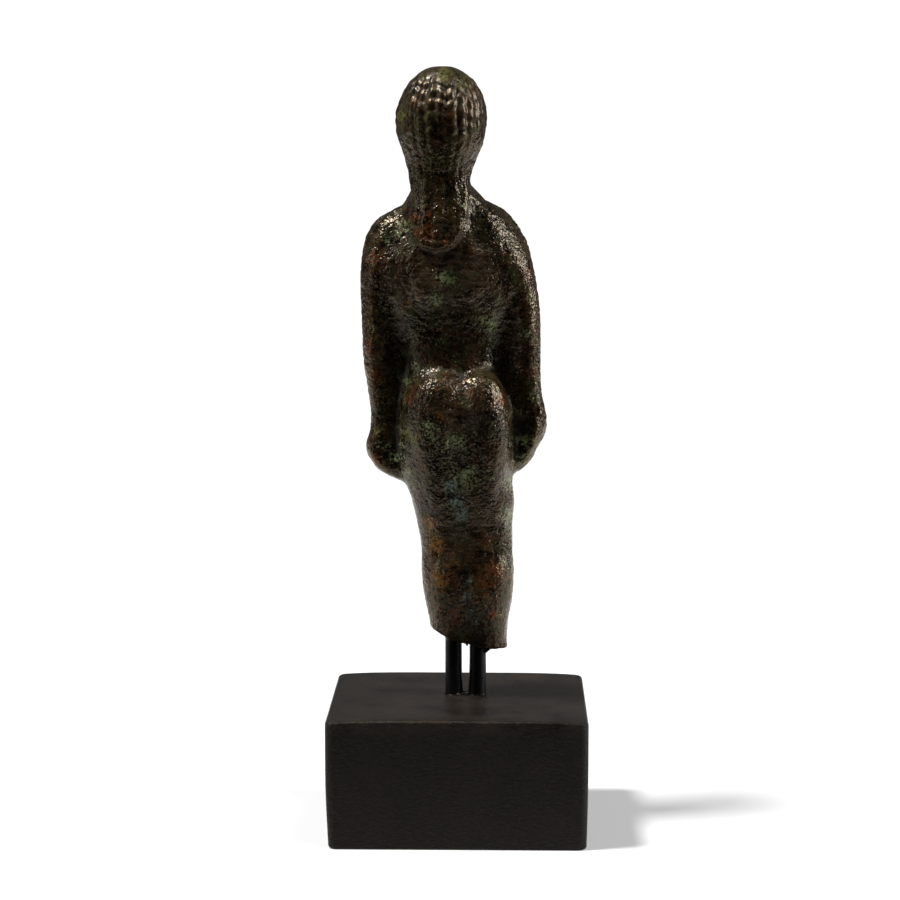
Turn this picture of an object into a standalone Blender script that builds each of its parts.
"""A small solid-cast bronze youth in the archaic Greek manner, broken above the ankles.

The figure stands on two steel pins in a black wooden block. Metres, +Z up. The origin is the
middle of the block's underside, the face looks along +Y, and the back is on the -Y side.
The body's proportions are given in hundredths of the figure's own height, measured from the
lowest point of the break, with x to the figure's right and y to its front.
"""

import math

import bmesh
import bpy
import numpy as np
from mathutils import Matrix, Vector

# Driving sizes, in metres
BLOCK_WIDTH = 0.0508
BLOCK_DEPTH = 0.04445
BLOCK_HEIGHT = 0.0254
BLOCK_ROUNDING = 0.0013
PIN_DIAMETER = 0.0032
PIN_SPACING = 0.00485
PIN_SIDE_SHIFT = 0.0014
PIN_FRONT_SHIFT = 0.002
PIN_CLEARANCE = 0.0003
PIN_DEPTH_IN_BLOCK = 0.010
PIN_DEPTH_IN_LEG = 0.009
FIGURE_HEIGHT = 0.1155
FIGURE_STANDOFF = 0.0093
# The figure leans to its left, so its foot stands this far to the right of the pins' middle
FOOT_FROM_PINS = 0.001
FIGURE_LEAN = math.radians(2.8)

# Mesh fineness. The clay's voxel is in hundredths of the figure's height. The face is thinned
# out less than the rest, by the share and the factor below.
CLAY_VOXEL = 0.36
CLAY_SOFTENING = 5
FIGURE_TRIANGLES = 8900
FACE_THINNING = 0.5
THINNING_FACTOR = 0.0006
PIN_SIDES = 20
EDGE_STEPS = 3
RINGS = 90
RING_POINTS = 56
SMALL_RINGS = 24
SHARP_ANGLE = math.radians(50)

SHARE = FIGURE_HEIGHT / 100

# Sections of the figure's forms, bottom to top. Each row is height, side, depth of the middle,
# half width, and the reach from the middle to the back and to the front.
TRUNK = (
    (-3.0, 0.2, 0.4, 5.7, 3.6, 3.4),
    (0.0, 0.1, 0.4, 5.9, 3.8, 3.6),
    (3.0, 0.05, 0.3, 6.1, 4.1, 3.9),
    (6.0, 0.0, 0.2, 6.7, 4.4, 4.1),
    (9.0, 0.1, 0.0, 7.3, 4.8, 4.2),
    (13.0, 0.1, 0.0, 7.7, 5.0, 4.4),
    (18.0, 0.2, 0.2, 7.6, 4.8, 4.8),
    (22.0, 0.1, 0.2, 7.9, 5.0, 5.2),
    (24.5, 0.1, 0.1, 8.3, 5.4, 5.3),
    (27.0, 0.0, 0.0, 8.8, 5.9, 5.5),
    (30.5, -0.8, 0.0, 9.3, 6.6, 5.6),
    (34.0, -0.8, 0.0, 9.6, 7.2, 5.7),
    (38.0, -0.6, 0.0, 9.7, 7.9, 5.8),
    (41.5, -0.7, 0.0, 9.3, 8.3, 5.7),
    (44.5, -0.9, 0.0, 8.7, 7.8, 5.5),
    (46.8, -0.9, 0.0, 8.1, 6.0, 5.3),
    (48.6, -0.8, 0.0, 7.8, 4.7, 5.3),
    (50.5, -0.7, 0.0, 7.7, 4.3, 5.3),
    (53.5, -0.6, 0.0, 7.8, 4.3, 5.3),
    (56.5, -0.6, 0.0, 8.3, 4.8, 5.5),
    (59.0, -0.6, 0.0, 9.2, 5.3, 5.7),
    (61.0, -0.6, 0.0, 10.1, 5.8, 6.0),
    (66.0, -0.7, 0.0, 11.4, 6.1, 6.4),
    (70.0, -0.8, 0.0, 11.4, 5.9, 5.9),
    (73.0, -0.9, 0.0, 10.4, 5.5, 4.9),
    (75.2, -0.9, 0.0, 8.9, 5.0, 4.1),
    (76.8, -0.8, 0.2, 7.4, 4.6, 3.7),
    (78.4, -0.8, 0.3, 6.1, 4.4, 3.6),
    (80.0, -1.0, 0.4, 4.7, 4.3, 3.6),
    (83.0, -1.1, 0.8, 4.3, 4.1, 3.6),
    (86.0, -1.0, 0.8, 3.4, 3.2, 2.6),
)
TRUNK_SQUARENESS = 2.4
LEFT_BUTTOCK = (
    (24.0, -3.9, -1.4, 2.6, 3.4, 2.0),
    (30.0, -3.9, -1.9, 4.3, 4.6, 2.0),
    (36.0, -3.8, -2.6, 5.4, 5.4, 2.0),
    (40.0, -3.5, -2.8, 6.0, 6.0, 2.0),
    (43.2, -3.3, -3.0, 5.9, 6.0, 2.0),
    (45.8, -3.1, -3.2, 5.2, 5.4, 2.0),
    (47.7, -3.0, -3.4, 3.8, 4.0, 1.5),
    (48.7, -2.9, -3.6, 1.8, 1.9, 1.0),
)
RIGHT_BUTTOCK = (
    (24.0, 4.1, -1.4, 2.4, 3.4, 2.0),
    (30.0, 4.1, -1.9, 3.6, 4.6, 2.0),
    (36.0, 4.1, -2.6, 4.6, 5.3, 2.0),
    (40.0, 4.0, -2.8, 4.9, 5.8, 2.0),
    (42.8, 3.9, -3.0, 4.6, 5.8, 2.0),
    (45.5, 3.8, -3.2, 4.1, 5.1, 2.0),
    (47.4, 3.7, -3.4, 3.1, 3.7, 1.5),
    (48.4, 3.6, -3.6, 1.5, 1.8, 1.0),
)
LEFT_ARM = (
    (29.8, -9.4, 0.8, 0.9, 1.2, 1.2),
    (30.5, -10.4, 0.8, 2.0, 2.3, 2.4),
    (32.0, -11.7, 0.8, 2.7, 3.0, 3.1),
    (34.0, -12.9, 0.7, 2.9, 3.2, 3.3),
    (36.2, -13.5, 0.6, 2.8, 3.1, 3.2),
    (38.4, -13.2, 0.4, 2.3, 2.5, 2.5),
    (41.0, -13.0, 0.2, 2.1, 2.4, 2.4),
    (46.0, -13.1, -0.1, 2.3, 2.7, 2.8),
    (52.0, -13.4, -0.4, 2.5, 3.0, 3.0),
    (58.0, -13.2, -0.3, 2.6, 3.2, 3.2),
    (64.0, -12.8, 0.0, 2.9, 3.5, 3.5),
    (69.0, -11.9, 0.1, 3.2, 4.1, 3.8),
    (72.5, -10.6, 0.0, 3.5, 4.2, 3.7),
    (75.0, -9.2, 0.0, 3.1, 3.4, 3.0),
    (76.6, -7.6, 0.1, 1.6, 1.8, 1.8),
)
RIGHT_ARM = (
    (30.5, 8.9, 0.6, 1.0, 1.3, 1.3),
    (32.2, 9.7, 0.6, 2.0, 2.4, 2.5),
    (34.4, 10.7, 0.6, 2.2, 2.9, 3.0),
    (36.4, 11.6, 0.5, 2.7, 3.1, 3.2),
    (38.4, 12.2, 0.4, 2.7, 3.1, 3.2),
    (40.6, 12.6, 0.2, 2.3, 2.6, 2.6),
    (43.4, 12.3, 0.0, 2.1, 2.4, 2.4),
    (48.0, 12.1, -0.2, 2.3, 2.8, 2.8),
    (54.0, 12.2, -0.5, 2.5, 3.1, 3.0),
    (60.0, 12.0, -0.5, 2.7, 3.4, 3.2),
    (65.0, 11.2, -0.4, 2.9, 3.8, 3.5),
    (69.5, 10.2, -0.2, 3.2, 4.3, 3.7),
    (72.8, 8.5, -0.1, 3.3, 4.3, 3.6),
    (75.2, 7.2, 0.0, 2.8, 3.5, 3.0),
    (76.8, 5.8, 0.1, 1.5, 1.8, 1.8),
)
SKULL = (
    (83.6, -1.0, 2.2, 1.6, 2.0, 2.2),
    (84.4, -1.0, 2.2, 2.9, 3.2, 3.9),
    (85.8, -0.9, 2.0, 4.0, 4.4, 4.8),
    (88.0, -0.8, 1.6, 5.1, 6.0, 5.3),
    (91.0, -0.7, 1.2, 5.8, 7.0, 5.5),
    (94.0, -0.6, 0.8, 6.0, 7.2, 5.9),
    (96.6, -0.5, 0.4, 5.4, 6.2, 5.4),
    (98.6, -0.5, 0.2, 3.8, 4.2, 3.9),
    (99.4, -0.4, 0.2, 1.6, 1.8, 1.7),
)
HAIR = (
    (69.1, -2.2, -5.3, 1.2, 0.9, 1.0),
    (69.6, -2.2, -5.4, 2.3, 1.4, 1.6),
    (70.4, -2.1, -5.4, 3.2, 1.7, 1.8),
    (71.4, -2.0, -5.3, 3.8, 1.9, 2.0),
    (73.0, -1.9, -5.0, 4.3, 2.0, 2.2),
    (75.0, -1.7, -4.6, 4.6, 2.1, 2.6),
    (78.0, -1.4, -3.5, 4.8, 2.5, 3.2),
    (81.0, -1.2, -2.2, 4.9, 3.6, 3.6),
    (84.0, -0.9, -1.2, 5.5, 5.3, 3.8),
    (87.0, -0.5, -0.8, 6.6, 6.8, 4.1),
    (90.0, -0.5, -0.6, 7.4, 7.7, 4.4),
    (93.0, -0.4, -0.4, 7.5, 8.0, 5.2),
    (96.0, -0.25, -0.2, 6.5, 7.0, 5.9),
    (98.0, -0.2, -0.1, 5.25, 5.7, 5.0),
    (99.2, -0.3, 0.0, 3.9, 4.3, 3.8),
    (99.95, -0.35, 0.0, 2.4, 2.6, 2.4),
)
# Thin metal left between each arm and the waist
LEFT_WEB = (
    (31.0, -9.5, 0.4, 3.2, 1.6, 1.4),
    (44.0, -10.0, 0.2, 3.2, 1.5, 1.3),
    (66.0, -10.0, 0.0, 2.6, 1.8, 1.5),
)
RIGHT_WEB = (
    (33.0, 9.0, 0.4, 2.4, 1.7, 1.5),
    (46.0, 9.6, 0.0, 2.8, 1.8, 1.4),
    (66.0, 9.0, 0.0, 2.6, 2.0, 1.6),
)

# Strokes of the modelling tool. Each row is a path of points, a width, and a height along the
# surface's normal, which is negative for a groove.
BODY_STROKES = (
    # The dip between the buttocks, and the spine
    (((1.3, -7.6, 48.4), (1.0, -8.4, 44.5)), 0.9, -0.4),
    (((-1.0, -6.4, 68.5), (-0.3, -4.4, 52.0)), 1.2, -0.25),
    # Shoulder blades
    (((-6.4, -6.0, 68.0), (-4.6, -5.8, 63.5)), 2.2, 0.55),
    (((5.4, -6.0, 67.5), (4.0, -5.8, 63.5)), 2.2, 0.55),
    # The crease across the small of the back
    (((-2.4, -5.6, 60.0), (4.6, -5.4, 60.4)), 0.4, -0.35),
    (((-5.2, -5.0, 59.0), (-2.4, -5.6, 60.0)), 0.5, -0.15),
    # Hollows beside the hair on the shoulders
    (((4.2, -5.4, 74.0), (5.2, -5.8, 70.0)), 1.2, -0.6),
    (((-7.0, -5.2, 73.4), (-6.6, -5.8, 71.0)), 1.0, -0.35),
    # The rim down the right edge of the hair and round its end
    (
        (
            (3.0, -4.6, 78.4),
            (2.8, -5.4, 75.0),
            (2.2, -6.0, 73.0),
            (1.0, -6.7, 70.9),
            (-0.5, -7.0, 70.2),
            (-2.2, -7.0, 70.0),
            (-4.2, -6.8, 70.6),
            (-5.2, -6.2, 71.6),
        ),
        0.55,
        0.42,
    ),
    # Chest and its lower edge
    (((-5.4, 5.6, 69.0), (-5.8, 5.6, 65.8)), 3.0, 0.35),
    (((4.2, 5.6, 69.0), (4.6, 5.6, 65.8)), 3.0, 0.35),
    (((-8.6, 4.8, 64.8), (-4.8, 6.0, 63.6), (-1.2, 6.2, 63.6)), 0.8, -0.3),
    (((7.4, 4.8, 64.8), (3.6, 6.0, 63.6), (0.2, 6.2, 63.6)), 0.8, -0.3),
    # The midline, the navel and the groin
    (((-0.7, 6.6, 71.0), (-0.4, 5.8, 52.0)), 0.8, -0.25),
    (((-0.3, 5.4, 51.0),), 0.6, -0.6),
    (((-8.0, 3.6, 46.4), (-5.0, 5.0, 42.4), (-1.6, 5.8, 39.8)), 0.9, -0.3),
    (((7.8, 3.6, 46.4), (4.8, 5.0, 42.4), (1.2, 5.8, 39.8)), 0.9, -0.3),
    # The collar bones
    (((-7.6, 4.6, 73.2), (-2.0, 4.6, 73.6)), 0.7, 0.3),
    (((5.8, 4.6, 73.2), (0.0, 4.6, 73.6)), 0.7, 0.3),
    # The line between the legs, in front and behind
    (((-0.2, 5.8, 39.0), (0.2, 4.8, 20.0), (0.6, 4.0, -3.0)), 0.9, -1.0),
    (((-0.2, -7.6, 36.0), (-0.3, -5.0, 18.0), (0.3, -4.0, -3.0)), 1.1, -0.45),
    # Knees and calves
    (((-3.9, 5.2, 20.4), (-3.9, 5.1, 19.0)), 1.5, 0.6),
    (((4.1, 5.0, 20.4), (4.1, 4.9, 19.0)), 1.5, 0.5),
    (((-3.8, -5.0, 13.4), (-3.6, -4.8, 10.0)), 2.2, 0.3),
    (((4.2, -5.0, 13.4), (4.0, -4.8, 10.0)), 2.2, 0.3),
    # The left leg is a little advanced
    (((-4.2, 4.6, 26.0), (-3.4, 4.0, 2.0)), 2.6, 0.7),
    # Elbows, the curled left hand and the hollow of the right one, seen from behind
    (((-13.6, -3.4, 54.5), (-13.6, -3.2, 53.0)), 1.2, 0.4),
    (((12.4, -3.6, 56.0), (12.4, -3.4, 54.5)), 1.2, 0.4),
    (((-12.9, -2.4, 37.6), (-12.4, -2.4, 31.6)), 0.55, -0.9),
    (((10.8, -2.3, 39.4), (10.5, -2.5, 37.6)), 1.1, -1.1),
)
FINGERS = 4
LEFT_KNUCKLES = ((-15.4, -1.6, 32.6), (-15.6, 3.2, 32.6))
RIGHT_KNUCKLES = ((13.6, -1.8, 34.0), (13.8, 3.0, 34.0))
KNUCKLE_RISE = 3.4
KNUCKLE_GROOVE = (0.36, -0.42)

# The face, laid out in thirds: hairline to brow, brow to nostrils, nostrils to chin
FACE_SIDE = -0.75
HAIRLINE = 95.5
CHIN = 84.7
THIRD = (HAIRLINE - CHIN) / 3
BROW = HAIRLINE - THIRD
NOSTRILS = BROW - THIRD
EYES = BROW - 1.5
MOUTH = NOSTRILS - THIRD / 3
EYE_SPREAD = 2.35
FACE_DEPTH = 6.6
NOSE = (
    (NOSTRILS - 0.3, FACE_SIDE, FACE_DEPTH, 0.4, 0.6, 0.9),
    (NOSTRILS + 0.1, FACE_SIDE, FACE_DEPTH, 1.15, 1.0, 1.5),
    (NOSTRILS + 0.9, FACE_SIDE, FACE_DEPTH, 1.05, 1.2, 1.65),
    (NOSTRILS + 2.2, FACE_SIDE, FACE_DEPTH - 0.1, 0.75, 1.2, 1.05),
    (BROW - 0.2, FACE_SIDE, FACE_DEPTH - 0.1, 0.65, 1.2, 0.55),
    (BROW + 0.6, FACE_SIDE, FACE_DEPTH - 0.2, 0.6, 1.0, 0.3),
)
EYE_RADII = (1.45, 1.1, 0.8)
EYE_SINK = 0.95
EAR_SIDE = 6.1
EAR_DEPTH = 1.6
EAR_RADII = (0.75, 1.35, THIRD / 2)
LIPS_DEPTH = FACE_DEPTH - 0.25
UPPER_LIP_RADII = (1.6, 1.0, 0.5)
LOWER_LIP_RADII = (1.4, 1.0, 0.5)
CHIN_SINK = 1.6
CHIN_RADII = (1.9, 2.0, 1.2)
MOUTH_LINE = ((-1.6, 0.1), (0.0, 0.8), (1.6, 0.1))
# Half width, and the depth at which it starts
FACE_ZONE = (4.6, 3.0)
# Width and height of the strokes that draw the face
BROW_STROKE = (0.5, 0.4)
UPPER_LID_STROKE = (0.36, -0.35)
LOWER_LID_STROKE = (0.36, -0.3)
CHEEK_STROKE = (1.3, 0.3)
MOUTH_STROKE = (0.4, -0.45)
CHIN_STROKE = (0.7, -0.3)

# Locks of hair: upright tresses round the head, crimped across
TRESS_ANGLE = math.radians(14.5)
TRESS_RELIEF = 0.4
CRIMP_PITCH = 1.65
CRIMP_RELIEF = 0.26
CRIMP_LOWEST = 80.0
LEAST_CRIMP = 0.15
CROWN_EDGE = 99.0
NAPE_TRESS_WIDTH = 2.2
NAPE_TOP = 79.0
NAPE_TRESS_ENDS = 71.2
# The carved skin of the hair, as shares of the radius of the hair's form
HAIR_INNER = 0.86
HAIR_OUTER = 1.3
# How far round from the back the locks reach, on the head and on the nape
HEAD_LOCKS_ANGLE = math.radians(109)
NAPE_LOCKS_ANGLE = math.radians(77)
# The curls over the forehead lie on an arc round the front of the skull
FOREHEAD_CURLS = 9
FOREHEAD_CURL_RADIUS = 0.75
FOREHEAD_ARC = math.radians(156)
FOREHEAD_HALF_WIDTH = 5.9
FOREHEAD_MIDDLE = 0.6
FOREHEAD_REACH = 5.7
FOREHEAD_DROP = 1.9

# The break through the shins: height of the metal's end at each side position
BREAK_LINE = (
    (-8.0, 3.9),
    (-6.2, 3.7),
    (-4.0, 2.7),
    (-1.8, 1.9),
    (0.8, 1.0),
    (2.5, 0.2),
    (5.9, 0.0),
    (9.0, 0.0),
)
BREAK_ROUGHNESS = 0.15
BREAK_CELLS = 14
BREAK_HALF_WIDTH = 9.0
BREAK_BOTTOM = -6.0


def clear_scene():
    for obj in list(bpy.data.objects):
        bpy.data.objects.remove(obj)


def material(name, colour, metallic, roughness):
    made = bpy.data.materials.new(name)
    made.use_nodes = True
    shader = made.node_tree.nodes["Principled BSDF"]
    shader.inputs["Base Color"].default_value = (*colour, 1.0)
    shader.inputs["Metallic"].default_value = metallic
    shader.inputs["Roughness"].default_value = roughness
    return made


def add_object(name, mesh, finish):
    obj = bpy.data.objects.new(name, mesh)
    bpy.context.scene.collection.objects.link(obj)
    mesh.materials.clear()
    mesh.materials.append(finish)
    return obj


def smooth_rows(rows, count):
    """Rows read at even steps along a smooth curve through the given ones."""
    rows = np.array(rows, float)
    steps = np.linalg.norm(np.diff(rows[:, :4], axis=0), axis=1)
    at = np.concatenate([[0], np.cumsum(steps)])
    slopes = np.gradient(rows, at, axis=0)
    place = np.linspace(0, at[-1], count)
    i = np.clip(np.searchsorted(at, place, side="right") - 1, 0, len(at) - 2)
    span = (at[i + 1] - at[i])[:, None]
    t = ((place - at[i]) / span[:, 0])[:, None]
    return (
        (2 * t**3 - 3 * t**2 + 1) * rows[i]
        + (t**3 - 2 * t**2 + t) * span * slopes[i]
        + (3 * t**2 - 2 * t**3) * rows[i + 1]
        + (t**3 - t**2) * span * slopes[i + 1]
    )


def squared(value, squareness):
    """A circle's sine or cosine pushed outwards, which squares the circle a little."""
    return math.copysign(abs(value) ** (2 / squareness), value)


def add_form(bm, rows, rings=RINGS, points=RING_POINTS, squareness=2.0):
    """A closed form through level oval sections, added to the clay."""
    loops = []
    for height, side, middle, half_width, back, front in smooth_rows(rows, rings):
        loop = []
        for n in range(points):
            angle = 2 * math.pi * n / points
            reach = front if math.sin(angle) > 0 else back
            x = side + max(half_width, 0.05) * squared(math.cos(angle), squareness)
            y = middle + max(reach, 0.05) * squared(math.sin(angle), squareness)
            loop.append(bm.verts.new((x, y, height)))
        loops.append(loop)
    for lower, upper in zip(loops, loops[1:]):
        for n in range(points):
            m = (n + 1) % points
            bm.faces.new((lower[n], lower[m], upper[m], upper[n]))
    bm.faces.new(loops[0][::-1])
    bm.faces.new(loops[-1])


def add_ball(bm, centre, radii):
    turn = Matrix.Translation(centre) @ Matrix.Diagonal((*radii, 1))
    bmesh.ops.create_uvsphere(bm, u_segments=20, v_segments=12, radius=1, matrix=turn)


def add_face(bm):
    """The nose, eyes, lips, chin and ears, and the row of curls over the forehead."""
    add_form(bm, NOSE, SMALL_RINGS, SMALL_RINGS)
    for side in (-1, 1):
        eye = (FACE_SIDE + side * EYE_SPREAD, FACE_DEPTH - EYE_SINK, EYES)
        add_ball(bm, eye, EYE_RADII)
        ear = (FACE_SIDE + side * EAR_SIDE, EAR_DEPTH, (BROW + NOSTRILS) / 2)
        add_ball(bm, ear, EAR_RADII)
    add_ball(bm, (FACE_SIDE, LIPS_DEPTH, MOUTH + UPPER_LIP_RADII[2]), UPPER_LIP_RADII)
    add_ball(bm, (FACE_SIDE, LIPS_DEPTH, MOUTH - LOWER_LIP_RADII[2]), LOWER_LIP_RADII)
    add_ball(bm, (FACE_SIDE, FACE_DEPTH - CHIN_SINK, CHIN + 0.9), CHIN_RADII)
    for n in range(FOREHEAD_CURLS):
        turn = FOREHEAD_ARC * (n / (FOREHEAD_CURLS - 1) - 0.5)
        x = FACE_SIDE + FOREHEAD_HALF_WIDTH * math.sin(turn)
        y = FOREHEAD_MIDDLE + FOREHEAD_REACH * math.cos(turn)
        z = HAIRLINE - FOREHEAD_DROP * (1 - math.cos(turn))
        add_ball(bm, (x, y, z), (FOREHEAD_CURL_RADIUS,) * 3)


def fused(bm, voxel, passes):
    """One closed skin over all the clay's forms, with soft joins."""
    mesh = bpy.data.meshes.new("clay")
    bm.to_mesh(mesh)
    obj = bpy.data.objects.new("clay", mesh)
    bpy.context.scene.collection.objects.link(obj)
    skin = obj.modifiers.new("skin", "REMESH")
    skin.mode = "VOXEL"
    skin.voxel_size = voxel
    soften = obj.modifiers.new("soften", "SMOOTH")
    soften.factor = 0.5
    soften.iterations = passes
    made = evaluated_mesh(obj)
    bpy.data.objects.remove(obj)
    return made


def evaluated_mesh(obj):
    bpy.context.view_layer.update()
    graph = bpy.context.evaluated_depsgraph_get()
    return bpy.data.meshes.new_from_object(obj.evaluated_get(graph))


def points_and_normals(mesh):
    points = np.empty(len(mesh.vertices) * 3, np.float32)
    normals = np.empty(len(mesh.vertices) * 3, np.float32)
    mesh.vertices.foreach_get("co", points)
    mesh.vertex_normals.foreach_get("vector", normals)
    return points.reshape(-1, 3).astype(float), normals.reshape(-1, 3).astype(float)


def raise_by(mesh, heights):
    """Moves each point along its normal by its own height."""
    points, normals = points_and_normals(mesh)
    moved = points + normals * heights[:, None]
    mesh.vertices.foreach_set("co", moved.astype(np.float32).ravel())
    mesh.update()


def stroke_heights(points, path, width, height):
    """A stroke's relief at each point, fading smoothly with distance from its path."""
    path = np.array(path, float)
    gap = np.linalg.norm(points - path[0], axis=1)
    for start, end in zip(path, path[1:]):
        along = end - start
        share = np.clip((points - start) @ along / (along @ along), 0, 1)
        gap = np.minimum(gap, np.linalg.norm(points - start - share[:, None] * along, axis=1))
    return height * np.exp(-((gap / width) ** 2))


def knuckle_strokes(row):
    """Grooves between the fingers, upright and side by side from back to front."""
    back, front = (Vector(p) for p in row)
    strokes = []
    for n in range(1, FINGERS):
        low = back.lerp(front, n / FINGERS)
        strokes.append(((low, low + Vector((0, 0, KNUCKLE_RISE))), *KNUCKLE_GROOVE))
    return strokes


def ridges(phase):
    """Rounded ridges one phase wide with sharp valleys between them, about zero on average."""
    return np.abs(np.sin(math.pi * phase)) - 2 / math.pi


def fade(value, start, width):
    """From 0 at the start to 1 a width further on. A negative width fades the other way."""
    return np.clip((value - start) / width, 0, 1)


def hair_heights(points):
    """Relief of the locks: crimped tresses round the head and thicker plain ones down the nape."""
    table = smooth_rows(HAIR, 400)
    table = table[np.argsort(table[:, 0])]
    run = np.concatenate([[0], np.cumsum(np.hypot(*np.diff(table[:, [0, 3]], axis=0).T))])
    z = points[:, 2]
    columns = (*table[:, 1:6].T, run)
    side, middle, wide, back, front, along = (
        np.interp(z, table[:, 0], column) for column in columns
    )
    across = points[:, 0] - side
    depth = points[:, 1] - middle
    depth = np.where(depth > 0, depth / front, depth / back)
    angle = np.arctan2(across / wide, -depth)
    radius = np.hypot(across / wide, depth)
    on_hair = fade(radius, HAIR_INNER, 0.06) * fade(radius, HAIR_OUTER, -0.1)
    above_brow = fade(z, HAIRLINE + 0.2, 0.6)
    behind_face = fade(np.abs(angle), HEAD_LOCKS_ANGLE, -0.1)
    on_nape = np.where(z < CRIMP_LOWEST, fade(np.abs(angle), NAPE_LOCKS_ANGLE, -0.1), 1)
    place = on_hair * np.maximum(above_brow, behind_face) * on_nape
    head = fade(z, NAPE_TOP, 3.0)
    tress = ridges(angle / TRESS_ANGLE + 0.5) * head
    tress += ridges(across / NAPE_TRESS_WIDTH + 0.5) * (1 - head)
    ends = fade(z, NAPE_TRESS_ENDS, 0.4)
    crown = fade(z, CROWN_EDGE, -1.2)
    crimped = np.maximum(fade(z, CRIMP_LOWEST - 2.0, 3.0), LEAST_CRIMP)
    crimp = ridges(along / CRIMP_PITCH)
    return place * ends * crown * (TRESS_RELIEF * tress + CRIMP_RELIEF * crimp * crimped)


def face_strokes():
    """Brows, the creases round the eyes, cheeks and the line of the mouth."""
    strokes = []
    near = FACE_DEPTH
    far = FACE_DEPTH - 1.6
    for side in (-1, 1):
        x = FACE_SIDE + side * EYE_SPREAD
        inner = FACE_SIDE + side * 0.9
        outer = FACE_SIDE + side * 4.3
        brow = ((inner, near, BROW), (x, near - 0.2, BROW + 0.5), (outer, far, BROW))
        upper = ((inner, near, EYES), (x, near, EYES + 1.0), (outer, far, EYES))
        lower = ((inner, near, EYES), (x, near, EYES - 1.0), (outer, far, EYES))
        bone = x + side * 0.5
        cheek = ((bone, near - 0.6, NOSTRILS + 0.2), (bone, near - 1.0, MOUTH + 0.6))
        strokes.append((brow, *BROW_STROKE))
        strokes.append((upper, *UPPER_LID_STROKE))
        strokes.append((lower, *LOWER_LID_STROKE))
        strokes.append((cheek, *CHEEK_STROKE))
    line = [(FACE_SIDE + dx, near + dy, MOUTH + 0.06 * abs(dx)) for dx, dy in MOUTH_LINE]
    strokes.append((line, *MOUTH_STROKE))
    strokes.append((((FACE_SIDE, near + 0.4, MOUTH - 1.2),), *CHIN_STROKE))
    return strokes


def carved(mesh):
    """Works the clay's skin: broad strokes first, then hair, face and fingers."""
    points, _ = points_and_normals(mesh)
    heights = np.zeros(len(points))
    fingers = knuckle_strokes(LEFT_KNUCKLES) + knuckle_strokes(RIGHT_KNUCKLES)
    for stroke in [*BODY_STROKES, *face_strokes(), *fingers]:
        heights += stroke_heights(points, *stroke)
    raise_by(mesh, heights + hair_heights(points))
    return mesh


def break_height(x, y):
    """Where the metal ends: the broken line across the shins, with a torn surface."""
    places, heights = zip(*BREAK_LINE)
    torn = math.sin(3.1 * x + 1.7 * y) + math.sin(2.3 * y - 1.9 * x + 1.0)
    return float(np.interp(x, places, heights)) + BREAK_ROUGHNESS * torn


def break_cutter():
    """A block under the shins whose upper face is the break."""
    bm = bmesh.new()
    cells = BREAK_CELLS
    bmesh.ops.create_grid(bm, x_segments=cells, y_segments=cells, size=BREAK_HALF_WIDTH)
    for vert in bm.verts:
        vert.co.z = break_height(vert.co.x, vert.co.y)
    bottom = bmesh.ops.extrude_face_region(bm, geom=bm.faces[:])["geom"]
    for vert in bottom:
        if isinstance(vert, bmesh.types.BMVert):
            vert.co.z = BREAK_BOTTOM
    bmesh.ops.recalc_face_normals(bm, faces=bm.faces[:])
    mesh = bpy.data.meshes.new("break")
    bm.to_mesh(mesh)
    return helper("break", mesh)


def helper(name, mesh):
    """A cutter, which isn't part of the object."""
    obj = bpy.data.objects.new(name, mesh)
    bpy.context.scene.collection.objects.link(obj)
    obj.hide_render = True
    obj.display_type = "WIRE"
    return obj


def cylinder_mesh(name, radius, length):
    """An upright cylinder standing on its own origin."""
    bm = bmesh.new()
    bmesh.ops.create_cone(
        bm,
        cap_ends=True,
        segments=PIN_SIDES,
        radius1=radius,
        radius2=radius,
        depth=length,
        matrix=Matrix.Translation((0, 0, length / 2)),
    )
    mesh = bpy.data.meshes.new(name)
    bm.to_mesh(mesh)
    return mesh


def cut(obj, cutter):
    modifier = obj.modifiers.new("cut by " + cutter.name, "BOOLEAN")
    modifier.operation = "DIFFERENCE"
    modifier.object = cutter


def figure_place():
    """Carries the figure's own frame, in hundredths of its height, to where it stands."""
    side = PIN_SIDE_SHIFT + FOOT_FROM_PINS
    foot = Matrix.Translation((side, PIN_FRONT_SHIFT, BLOCK_HEIGHT + FIGURE_STANDOFF))
    return foot @ Matrix.Rotation(-FIGURE_LEAN, 4, "Y") @ Matrix.Scale(SHARE, 4)


def settle(obj):
    """Makes the shape that the object's modifiers give its own."""
    made = evaluated_mesh(obj)
    obj.modifiers.clear()
    obj.vertex_groups.clear()
    obj.data = made


def thin_out(obj):
    """Fewer triangles, taken less from the face than from the rest."""
    keeper = obj.vertex_groups.new(name="thinner")
    half_width, nearest = FACE_ZONE
    for vert in obj.data.vertices:
        x, y, z = vert.co
        on_face = CHIN - 0.5 < z < HAIRLINE and y > nearest and abs(x - FACE_SIDE) < half_width
        keeper.add([vert.index], FACE_THINNING if on_face else 1.0, "REPLACE")
    thin = obj.modifiers.new("thin out", "DECIMATE")
    thin.ratio = FIGURE_TRIANGLES / (2 * len(obj.data.polygons))
    thin.vertex_group = keeper.name
    thin.vertex_group_factor = THINNING_FACTOR
    settle(obj)


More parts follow.
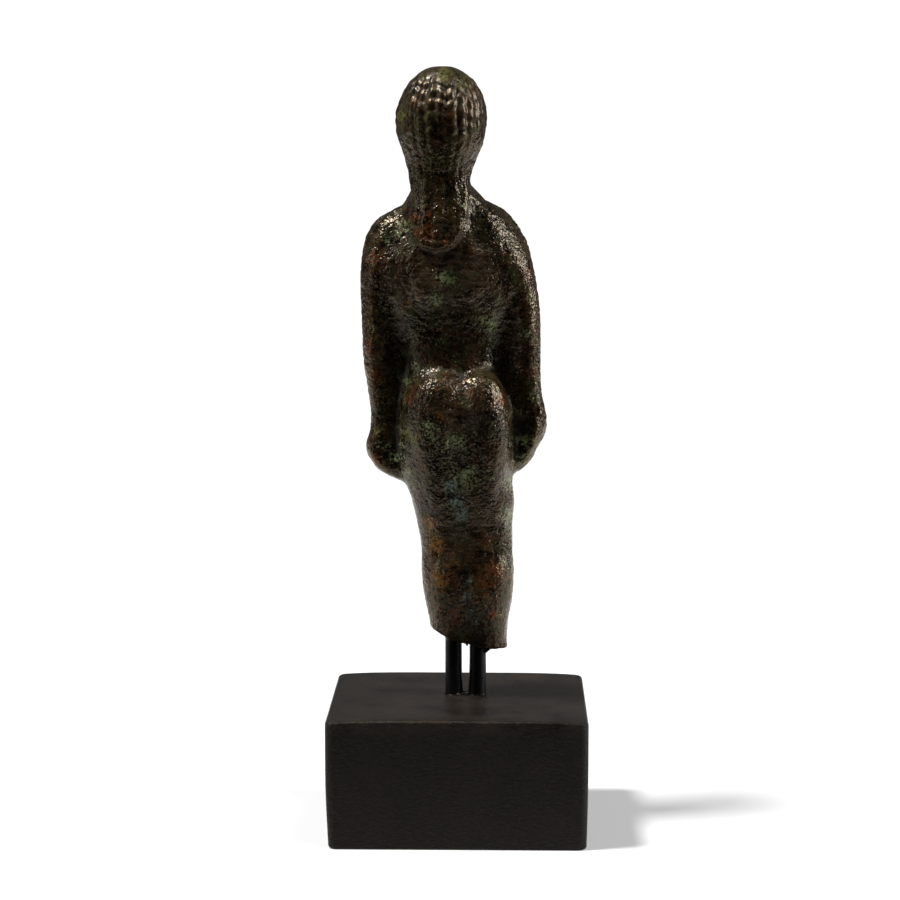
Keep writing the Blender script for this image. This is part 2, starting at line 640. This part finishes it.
def make_figure(finish):
    bm = bmesh.new()
    add_form(bm, TRUNK, squareness=TRUNK_SQUARENESS)
    for rows in (LEFT_BUTTOCK, RIGHT_BUTTOCK, LEFT_ARM, RIGHT_ARM, SKULL, HAIR):
        add_form(bm, rows)
    for rows in (LEFT_WEB, RIGHT_WEB):
        add_form(bm, rows, SMALL_RINGS, SMALL_RINGS)
    add_face(bm)
    clay = carved(fused(bm, CLAY_VOXEL, CLAY_SOFTENING))
    obj = add_object("figure", clay, finish)
    cutter = break_cutter()
    cut(obj, cutter)
    settle(obj)
    bpy.data.objects.remove(cutter)
    thin_out(obj)
    obj.data.transform(figure_place())
    obj.data.materials.clear()
    obj.data.materials.append(finish)
    return obj


def pin_places():
    """Where each pin comes out of the block's top."""
    for name, side in (("left", -1), ("right", 1)):
        x = PIN_SIDE_SHIFT + side * PIN_SPACING / 2
        yield name, Vector((x, PIN_FRONT_SHIFT, BLOCK_HEIGHT))


def make_block(finish):
    bm = bmesh.new()
    sizes = Matrix.Diagonal((BLOCK_WIDTH, BLOCK_DEPTH, BLOCK_HEIGHT, 1))
    bmesh.ops.create_cube(bm, size=1, matrix=Matrix.Translation((0, 0, BLOCK_HEIGHT / 2)) @ sizes)
    mesh = bpy.data.meshes.new("block")
    bm.to_mesh(mesh)
    obj = add_object("block", mesh, finish)
    edges = obj.modifiers.new("rounded edges", "BEVEL")
    edges.width = BLOCK_ROUNDING
    edges.segments = EDGE_STEPS
    return obj


def make_pin(name, foot, block, figure, finish):
    """A pin from its socket in the block to its hole in the shin, with both holes cut."""
    radius = PIN_DIAMETER / 2
    length = PIN_DEPTH_IN_BLOCK + FIGURE_STANDOFF + PIN_DEPTH_IN_LEG
    pin = add_object(f"pin_{name}", cylinder_mesh(f"pin_{name}", radius, length), finish)
    pin.location = foot - Vector((0, 0, PIN_DEPTH_IN_BLOCK))
    hole = cylinder_mesh(f"hole_{name}", radius + PIN_CLEARANCE, length + 2 * PIN_CLEARANCE)
    cutter = helper(f"hole_{name}", hole)
    cutter.location = pin.location - Vector((0, 0, PIN_CLEARANCE))
    cut(block, cutter)
    cut(figure, cutter)
    return pin


def main():
    clear_scene()
    bronze = material("dark patinated bronze", (0.085, 0.055, 0.04), 0.85, 0.38)
    wood = material("black painted wood", (0.018, 0.016, 0.015), 0.0, 0.55)
    steel = material("blackened steel", (0.012, 0.012, 0.012), 0.3, 0.5)
    figure = make_figure(bronze)
    block = make_block(wood)
    pins = [make_pin(name, foot, block, figure, steel) for name, foot in pin_places()]
    for obj in (figure, block, *pins):
        obj.data.shade_smooth()
        obj.data.set_sharp_from_angle(angle=SHARP_ANGLE)


main()
